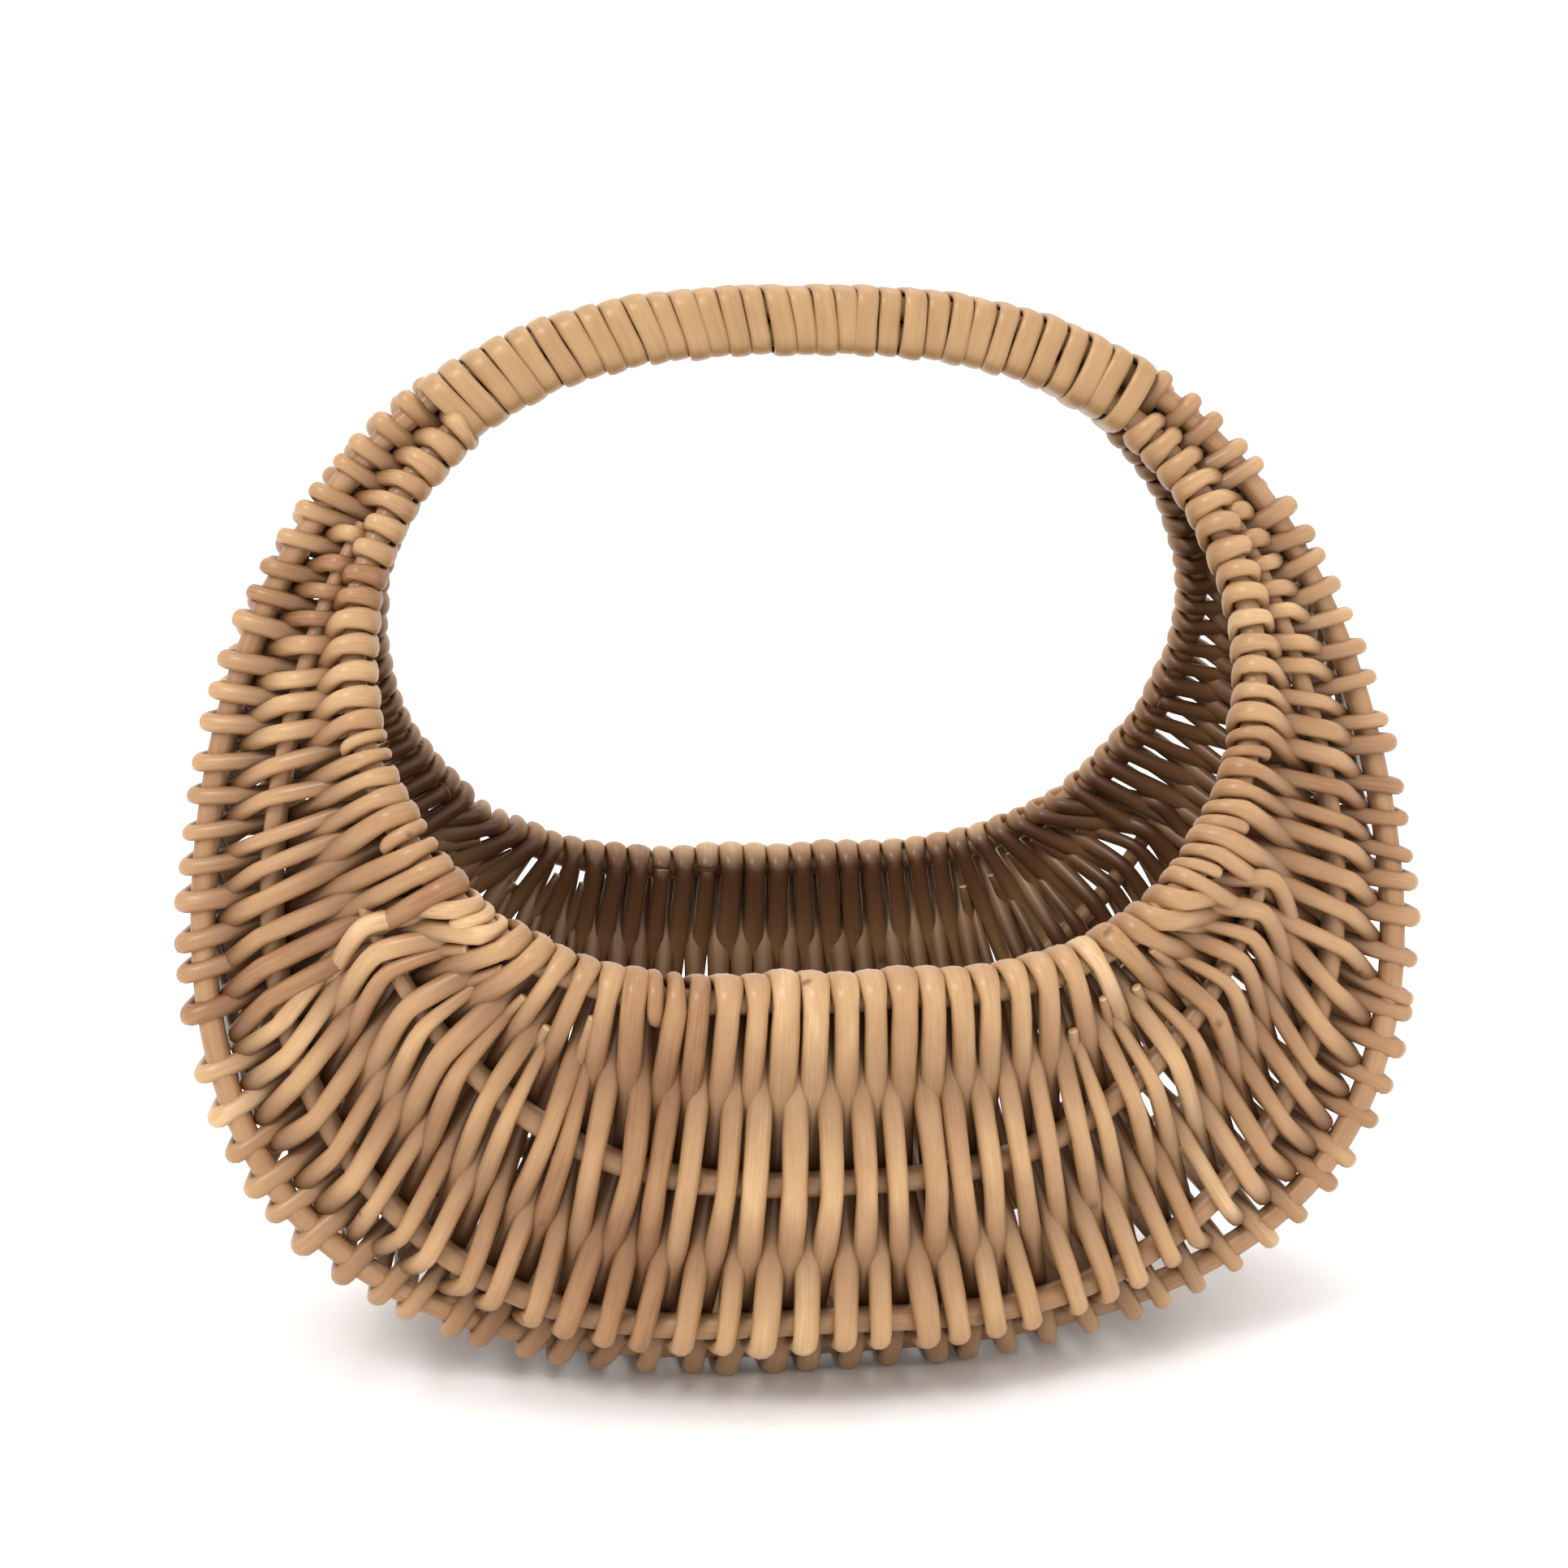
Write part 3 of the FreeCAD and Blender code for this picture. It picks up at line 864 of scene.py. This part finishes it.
@dataclass
class Grip:
    """The handle's binding: a flat willow skein wound round the four hoops as a helix."""

    seed: int = 21
    pitch: float = 5.35
    half_width: float = 2.68
    half_thickness: float = 1.1
    corner: float = 4.2         # exponent of the hoops' common outline, a rounded square
    turn_samples: int = 40
    size_waves: tuple[tuple[float, float, float], ...] = ((0.03, 3.1, 0.0), (0.02, 7.7, 1.0))
    width_waves: tuple[tuple[float, float, float], ...] = ((0.05, 2.3, 2.0), (0.03, 9.1, 0.0))
    lean: float = 0.45          # millimetres by which a turn leans more or less than the next
    lean_phase: float = 0.6     # radians round the grip where a turn leans out furthest

    def build(self, material: bpy.types.Material) -> list[bpy.types.Object]:
        """Builds both bindings and puts them on their CAD nodes."""
        random = np.random.default_rng(self.seed)
        pieces = []
        for name, first, last in (("right", GRIP_START, GRIP_SEAM), ("left", GRIP_SEAM, 360 - GRIP_START)):
            mesh = TubeMesh(sides=14)
            mesh.add(self.winding(first, last, random))
            node = f"grip_binding_{name}"
            piece = mesh.make(f"willow_{node}")
            dress(piece, material, node)
            pieces.append(piece)
        return pieces

    @staticmethod
    def uneven(waves: tuple[tuple[float, float, float], ...], share: np.ndarray, turns: int) -> np.ndarray:
        """A factor near 1 along the winding, from waves of height, radians per turn and start."""
        factor = np.ones(len(share))
        for height, rate, start in waves:
            factor = factor + height * np.sin(rate * share * turns + start)
        return factor

    def winding(self, first: float, last: float, random: np.random.Generator) -> Tube:
        """The skein between two rail angles.

        With f the winding angle, the skein's middle lies on the outline
        (cos f, sin f) / (|cos f|^p + |sin f|^p)^(1/p), scaled by the hoops' half width and half depth plus
        half its own thickness, about the middle of the four hoops.

        Args:
            first: rail angle where it starts.
            last: rail angle where it ends.
            random: the source of its unevenness.
        """
        middle_radius = float(BASE.radius(np.array([180.0]))[0] + RIM.radius(np.array([180.0]))[0]) / 2
        turns = round(math.radians(last - first) * middle_radius / self.pitch)
        count = turns * self.turn_samples + 1
        share = np.linspace(0, 1, count)
        wind = 2 * np.pi * turns * share
        leans = random.normal(0, self.lean, turns + 3)
        leaning = np.interp(share * turns, np.arange(turns + 3), leans)
        edge = np.clip(np.minimum(share, 1 - share) * turns, 0, 1)
        slide = leaning * np.sin(wind + self.lean_phase) * edge
        angle = first + (last - first) * share + np.degrees(slide / middle_radius)
        folded = 180 - np.abs(180 - angle)
        turn = np.radians(angle)
        rim, base = RIM.radius(folded), BASE.radius(folded)
        half_out = (base - rim) / 2 + ROD_RADIUS + self.half_thickness
        half_deep = RIM.half_depth(folded) + ROD_RADIUS + self.half_thickness
        p = self.corner
        cos, sin = np.cos(wind), np.sin(wind)
        swell = (np.abs(cos) ** p + np.abs(sin) ** p) ** (-1 / p)
        loose = self.uneven(self.size_waves, share, turns)
        out, deep = half_out * cos * swell * loose, half_deep * sin * swell * loose
        radial = np.stack((np.sin(turn), 0 * turn, -np.cos(turn)), axis=-1)
        back = np.array([0.0, 1.0, 0.0])
        middle = (rim + base)[:, None] / 2 * radial + np.array([0.0, 0.0, HUB_HEIGHT])
        points = middle + out[:, None] * radial + deep[:, None] * back
        slope_out = np.sign(cos) * np.abs(cos * swell) ** (p - 1) / half_out
        slope_deep = np.sign(sin) * np.abs(sin * swell) ** (p - 1) / half_deep
        normals = unit(slope_out[:, None] * radial + slope_deep[:, None] * back)
        width = self.half_width * self.uneven(self.width_waves, share, turns)
        return Tube(points, normals, np.full(count, self.half_thickness), width, tone=0.5,
                    start=random.uniform(0, 900), squareness=3.0)


# ---- Bringing it together ----


def dress(piece: bpy.types.Object, material: bpy.types.Material, node: str) -> None:
    """Gives a piece its finish and puts it in place of a CAD node, on the basket's one body."""
    piece.data.materials.append(material)
    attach(piece, "root")
    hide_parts(node)


@dataclass
class Studio:
    """A white floor, a bright surround, soft lights and the camera."""

    lens: float = 55.9
    place: tuple[float, float, float] = (-0.071, -0.598, 0.2566)
    azimuth: float = 6.4
    elevation: float = 11.0
    roll: float = -0.27
    surround: float = 1.3
    gamma: float = 0.85
    aim: tuple[float, float, float] = (0.0, 0.0, 0.12)
    lights: tuple[tuple[str, tuple[float, float, float], float, float], ...] = (
        ("key", (-0.9, -1.1, 1.5), 0.6, 14.0),
        ("top", (0.2, 0.3, 1.6), 1.2, 6.0),
        ("fill", (1.1, -1.3, 0.6), 1.2, 3.0))
    floor_half: float = 6.0
    floor_drop: float = 0.0003

    def build(self) -> None:
        """Makes the floor, the surround, the lights and the camera."""
        self.floor()
        self.world()
        for name, place, size, power in self.lights:
            self.light(name, place, size, power)
        self.camera()
        bpy.context.scene.view_settings.view_transform = "Standard"
        bpy.context.scene.view_settings.gamma = self.gamma

    def floor(self) -> None:
        """A plain matt floor."""
        material = bpy.data.materials.new("matt_white_floor")
        material.use_nodes = True
        shader = material.node_tree.nodes["Principled BSDF"]
        shader.inputs["Base Color"].default_value = linear("#FAFAFA")
        shader.inputs["Roughness"].default_value = 0.9
        mesh = bpy.data.meshes.new("studio_floor")
        half = self.floor_half
        mesh.from_pydata([(-half, -half, 0), (half, -half, 0), (half, half, 0), (-half, half, 0)], [],
                         [(0, 1, 2, 3)])
        floor = bpy.data.objects.new("studio_floor", mesh)
        floor.location.z = -self.floor_drop
        mesh.materials.append(material)
        bpy.context.scene.collection.objects.link(floor)

    def world(self) -> None:
        """An even white surround."""
        world = bpy.data.worlds.new("white_surround")
        world.use_nodes = True
        background = world.node_tree.nodes["Background"]
        background.inputs["Color"].default_value = (1.0, 1.0, 1.0, 1.0)
        background.inputs["Strength"].default_value = self.surround
        bpy.context.scene.world = world

    def light(self, name: str, place: tuple[float, float, float], size: float, power: float) -> None:
        """Adds a square soft light that faces the basket."""
        data = bpy.data.lights.new(name, "AREA")
        data.size, data.energy = size, power
        lamp = bpy.data.objects.new(name, data)
        lamp.location = place
        aim = Vector(self.aim) - Vector(place)
        lamp.rotation_euler = aim.to_track_quat("-Z", "Y").to_euler()
        bpy.context.scene.collection.objects.link(lamp)

    def camera(self) -> None:
        """Sets the camera by its place, its heading and its tilt."""
        data = bpy.data.cameras.new("camera")
        data.lens, data.sensor_width = self.lens, 36.0
        data.clip_start, data.clip_end = 0.01, 50.0
        camera = bpy.data.objects.new("camera", data)
        camera.location = self.place
        azimuth, elevation = math.radians(self.azimuth), math.radians(self.elevation)
        ahead = Vector((math.sin(azimuth) * math.cos(elevation), math.cos(azimuth) * math.cos(elevation),
                        -math.sin(elevation)))
        turn = ahead.to_track_quat("-Z", "Y") @ Quaternion((0.0, 0.0, 1.0), math.radians(self.roll))
        camera.rotation_euler = turn.to_euler()
        bpy.context.scene.collection.objects.link(camera)
        bpy.context.scene.camera = camera


def main() -> None:
    """Builds the studio, the frame, the weave and the grip."""
    logging.basicConfig(level=logging.INFO, format="%(name)s: %(message)s")
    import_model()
    Studio().build()
    pieces = FrameRods().build(FRAME_FINISH.make())
    pieces += Weave().build(WEAVER_FINISH.make())
    pieces += Grip().build(BINDING_FINISH.make())
    for piece in pieces:
        LOG.info("%s: %d points", piece.name, len(piece.data.vertices))


if __name__ == "__main__":
    main()
